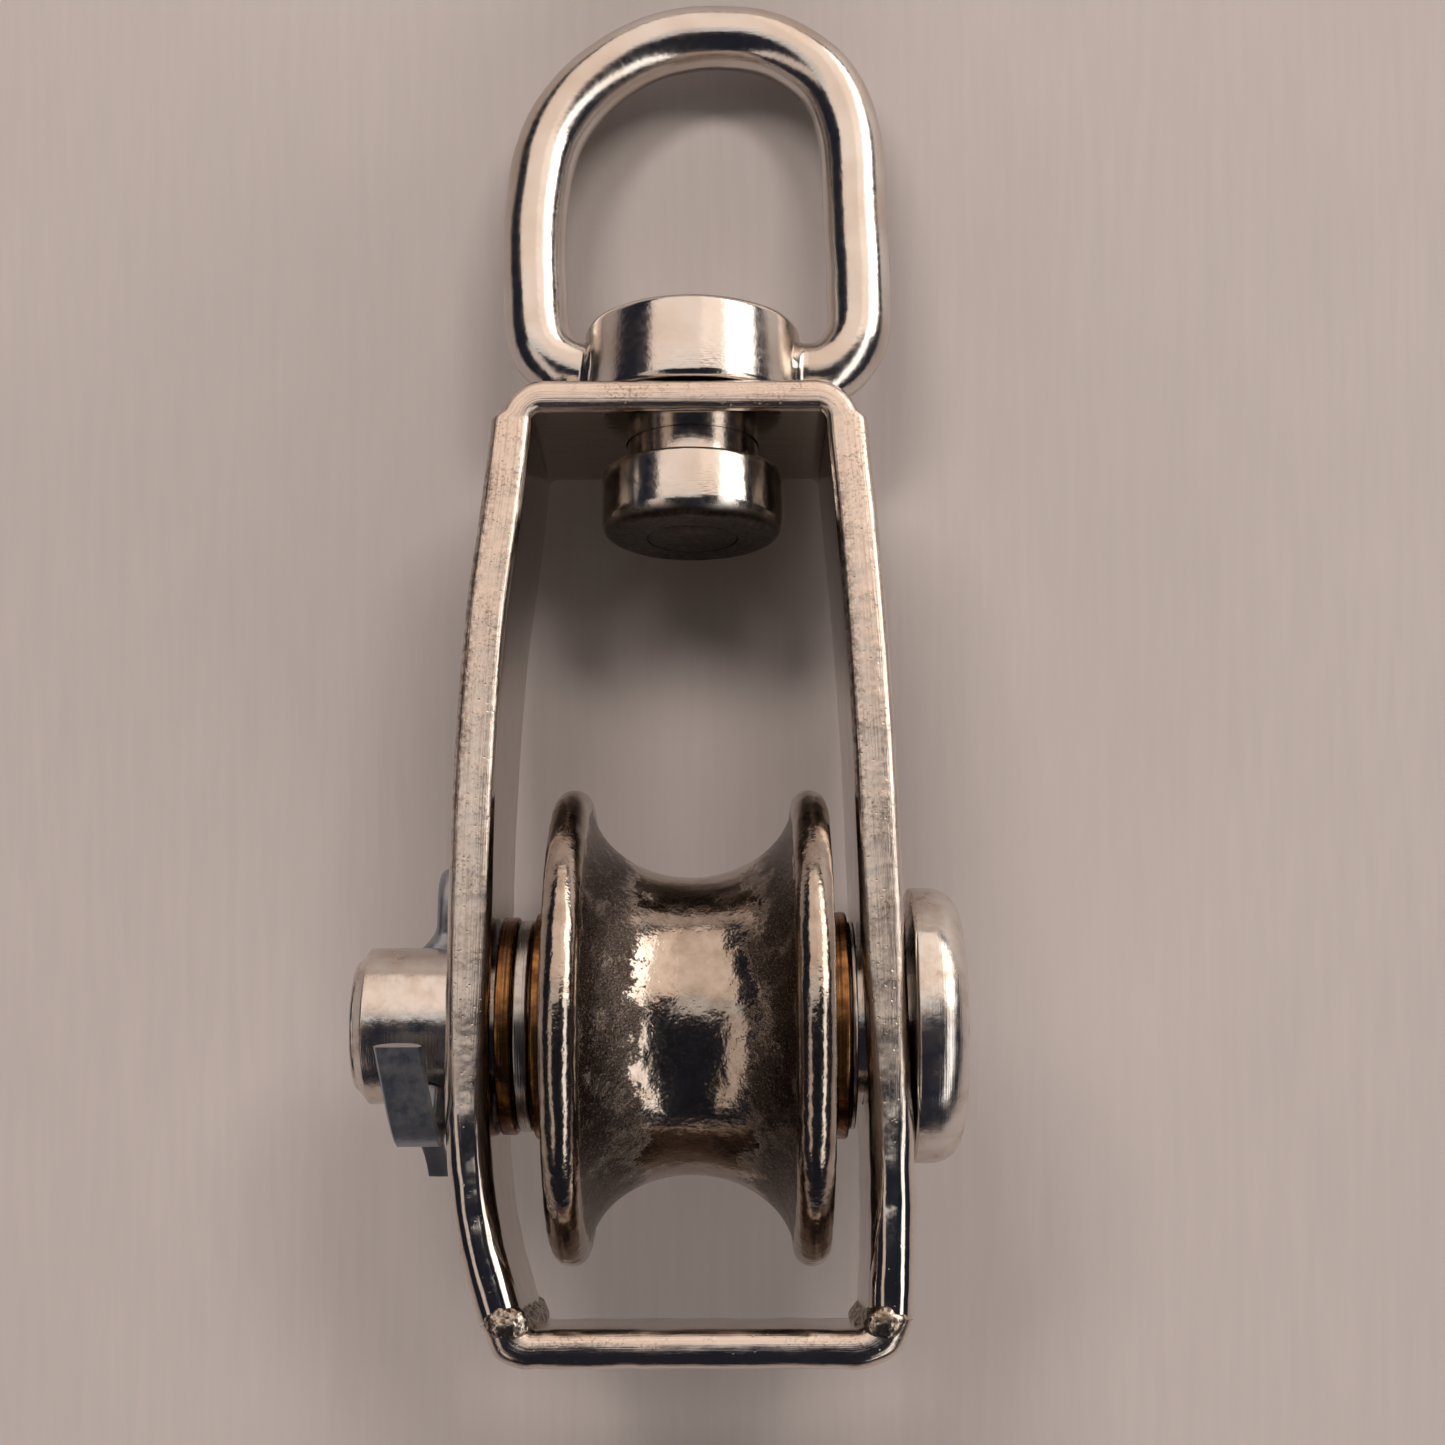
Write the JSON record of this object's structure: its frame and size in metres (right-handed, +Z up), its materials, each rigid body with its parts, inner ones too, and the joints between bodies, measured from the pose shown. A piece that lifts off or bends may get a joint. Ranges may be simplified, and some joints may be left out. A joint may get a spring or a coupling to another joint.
{
  "type": "single sheave block with swivel eye",
  "caption": "Polished stainless pulley block: swivel eye, bent strap frame, deep-grooved sheave on a clevis pin held by a split pin.",
  "frame": {"origin": "centre of the footprint on the surface the block lies on, below the middle of its bounding box", "axes": "+Y runs from the crossbar to the eye, +X along the axle towards its head, +Z up; the block lies on its sheave rims and the crown of its eye"},
  "size_m": [0.0386, 0.0918, 0.0308],
  "materials": {
    "frame_steel": "polished stainless, edges ground and buffed",
    "eye_steel": "mirror-polished stainless",
    "sheave_steel": "cast stainless, polished on the rims and the groove's middle",
    "pin_steel": "polished stainless, worn",
    "washer_steel": "plain turned steel, dulled",
    "bronze": "tarnished bronze"
  },
  "bodies": {
    "frame": {"frame_strap": "frame_steel", "frame_crossbar": "frame_steel"},
    "swivel": {"swivel_eye": "eye_steel", "swivel_button": "eye_steel"},
    "axle": {"axle_pin": "pin_steel", "split_pin": "pin_steel"},
    "wheel": {"sheave": "sheave_steel", "bush_left": "bronze", "bush_right": "bronze"},
    "thrust_washer": {"thrust_washer_left": "bronze"},
    "left_spacer": {"spacer_washer_left": "washer_steel"},
    "right_spacer": {"spacer_washer_right": "washer_steel"}
  },
  "joints": [
    {"name": "swivel_spin", "type": "hinge", "parent": "frame", "child": "swivel", "pos_m": [0.002, 0.01901, 0.00764], "axis": [0, 0.9827, -0.185], "continuous": true},
    {"name": "axle_spin", "type": "hinge", "parent": "frame", "child": "axle", "pos_m": [-0.001, -0.02423, 0.01578], "axis": [1, 0, 0], "continuous": true},
    {"name": "sheave_spin", "type": "hinge", "parent": "axle", "child": "wheel", "pos_m": [0.002, -0.02423, 0.01578], "axis": [1, 0, 0], "continuous": true},
    {"name": "thrust_washer_spin", "type": "hinge", "parent": "axle", "child": "thrust_washer", "pos_m": [-0.0094, -0.02423, 0.01578], "axis": [1, 0, 0], "continuous": true},
    {"name": "left_spacer_spin", "type": "hinge", "parent": "axle", "child": "left_spacer", "pos_m": [-0.00845, -0.02423, 0.01578], "axis": [1, 0, 0], "continuous": true},
    {"name": "right_spacer_spin", "type": "hinge", "parent": "axle", "child": "right_spacer", "pos_m": [0.0122, -0.02423, 0.01578], "axis": [1, 0, 0], "continuous": true}
  ]
}
